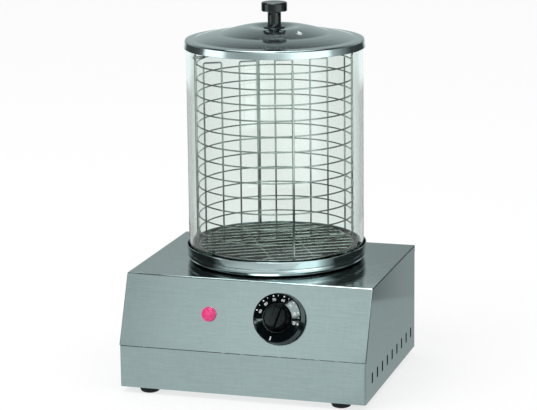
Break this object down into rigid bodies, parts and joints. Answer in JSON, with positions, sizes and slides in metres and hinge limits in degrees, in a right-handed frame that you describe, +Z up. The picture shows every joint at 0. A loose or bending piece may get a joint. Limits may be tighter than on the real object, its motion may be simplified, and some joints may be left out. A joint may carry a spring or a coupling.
{
  "type": "hot dog warmer",
  "caption": "Steel food warmer: glass cylinder with a wire sausage basket and a lid with a black knob, on a low casing with a slanted front that carries a dial and a pilot lamp",
  "frame": {"origin": "centre of the bounding box's footprint, on the surface the feet stand on", "axes": "+Z up, -Y is the front with the dial, +X is to the right seen from the front"},
  "size_m": [0.2828, 0.2622, 0.4247],
  "materials": {
    "steel_satin": "satin brushed sheet steel",
    "steel_polished": "polished sheet steel",
    "wire": "polished wire",
    "glass": "clear, faintly green at the edges",
    "black_plastic": "gloss black with white marks on the dial",
    "rubber": "matt black",
    "pink_lens": "translucent magenta pilot lens",
    "white_plastic": "off-white moulding",
    "brass": "plain",
    "screw_steel": "bright zinc plated"
  },
  "bodies": {
    "base": {"casing_top": "steel_satin", "casing_wrap": "steel_satin", "rear_panel": "steel_satin", "base_plate": "steel_satin", "pan": "steel_polished", "pan_clamp": "steel_satin", "heating_element": "steel_satin", "heater_plate": "steel_satin", "thermostat_body": "white_plastic", "lamp_lens": "pink_lens", "lamp_nut": "white_plastic", "safety_cutout": "white_plastic", "thermostat_bulb": "brass", "terminal_block": "white_plastic", "cable_gland": "black_plastic", "gland_nut": "black_plastic", "foot_1": "rubber", "foot_2": "rubber", "foot_3": "rubber", "foot_4": "rubber", "foot_screw_1": "screw_steel", "foot_screw_2": "screw_steel", "foot_screw_3": "screw_steel", "foot_screw_4": "screw_steel", "rear_screw_1": "screw_steel", "rear_screw_2": "screw_steel", "rear_screw_3": "screw_steel", "rear_screw_4": "screw_steel"},
    "glass": {"glass_cylinder": "glass"},
    "basket": {"basket_ring_1": "wire", "basket_ring_2": "wire", "basket_ring_3": "wire", "basket_ring_4": "wire", "basket_ring_5": "wire", "basket_ring_6": "wire", "basket_ring_7": "wire", "basket_ring_8": "wire", "basket_ring_9": "wire", "basket_ring_10": "wire", "basket_ring_11": "wire", "basket_ring_12": "wire", "basket_ring_13": "wire", "basket_post_1": "wire", "basket_post_2": "wire", "basket_post_3": "wire", "basket_post_4": "wire", "basket_floor": "wire", "basket_partition": "wire"},
    "bail": {"basket_bail": "wire"},
    "lid": {"lid": "steel_polished", "lid_knob": "black_plastic", "lid_screw": "screw_steel"},
    "dial": {"dial": "black_plastic", "thermostat_shaft": "brass"}
  },
  "joints": [
    {"name": "dial_turn", "type": "hinge", "parent": "base", "child": "dial", "pos_m": [0.0408, -0.10345, 0.0929], "axis": [0, -0.9258, 0.3779], "range_deg": [-67.5, 198.5]},
    {"name": "glass_lift", "type": "slide", "parent": "base", "child": "glass", "axis": [0, 0, 1], "range_m": [0, 0.1]},
    {"name": "basket_lift", "type": "slide", "parent": "glass", "child": "basket", "axis": [0, 0, 1], "range_m": [0, 0.27]},
    {"name": "lid_lift", "type": "slide", "parent": "basket", "child": "lid", "axis": [0, 0, 1], "range_m": [0, 0.16]},
    {"name": "bail_swing", "type": "hinge", "parent": "basket", "child": "bail", "pos_m": [0, 0.02312, 0.3651], "axis": [0.8755, 0.4833, 0], "range_deg": [0, 90]}
  ],
  "couplings": [
    {"joint": "bail_swing", "follows": "lid_lift", "rad_per_m": 9.8}
  ]
}
